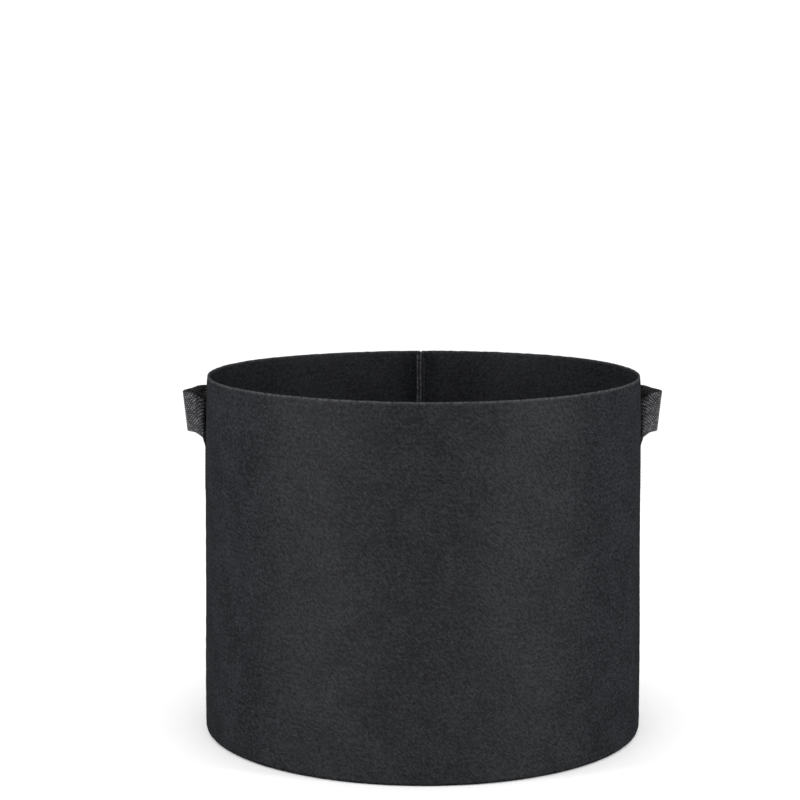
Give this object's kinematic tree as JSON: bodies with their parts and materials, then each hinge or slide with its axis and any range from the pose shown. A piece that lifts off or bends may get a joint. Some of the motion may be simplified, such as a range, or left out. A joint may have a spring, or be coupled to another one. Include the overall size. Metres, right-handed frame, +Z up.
{
  "type": "fabric grow bag",
  "caption": "Round felt planting bag with an open top, a flat sewn base and webbing handles that stand off the wall and swing down.",
  "frame": {"origin": "centre of the underside, where the bag rests", "axes": "+Z up through the open top, -Y towards the plain front, +Y towards the side seam at the back, +X to the right"},
  "size_m": [0.345, 0.3076, 0.251],
  "materials": {
    "felt": "matte",
    "webbing": "matte",
    "thread": "matte"
  },
  "bodies": {
    "bag": {"wall_panel": "felt", "base_disc": "felt", "side_seam_thread": "thread", "base_seam_thread": "thread", "left_handle_front_end": "webbing", "left_handle_rear_end": "webbing", "left_handle_front_stitching": "thread", "left_handle_rear_stitching": "thread", "right_handle_front_end": "webbing", "right_handle_rear_end": "webbing", "right_handle_front_stitching": "thread", "right_handle_rear_stitching": "thread"},
    "left_handle": {"left_handle_grip": "webbing"},
    "right_handle": {"right_handle_grip": "webbing"}
  },
  "joints": [
    {"name": "left_handle_swing", "type": "hinge", "parent": "bag", "child": "left_handle", "pos_m": [-0.14509, 0.04575, 0.197], "axis": [-0.3007, -0.9537, 0], "range_deg": [0, 105]},
    {"name": "right_handle_swing", "type": "hinge", "parent": "bag", "child": "right_handle", "pos_m": [0.14509, 0.04575, 0.197], "axis": [-0.3007, 0.9537, 0], "range_deg": [0, 105]}
  ]
}
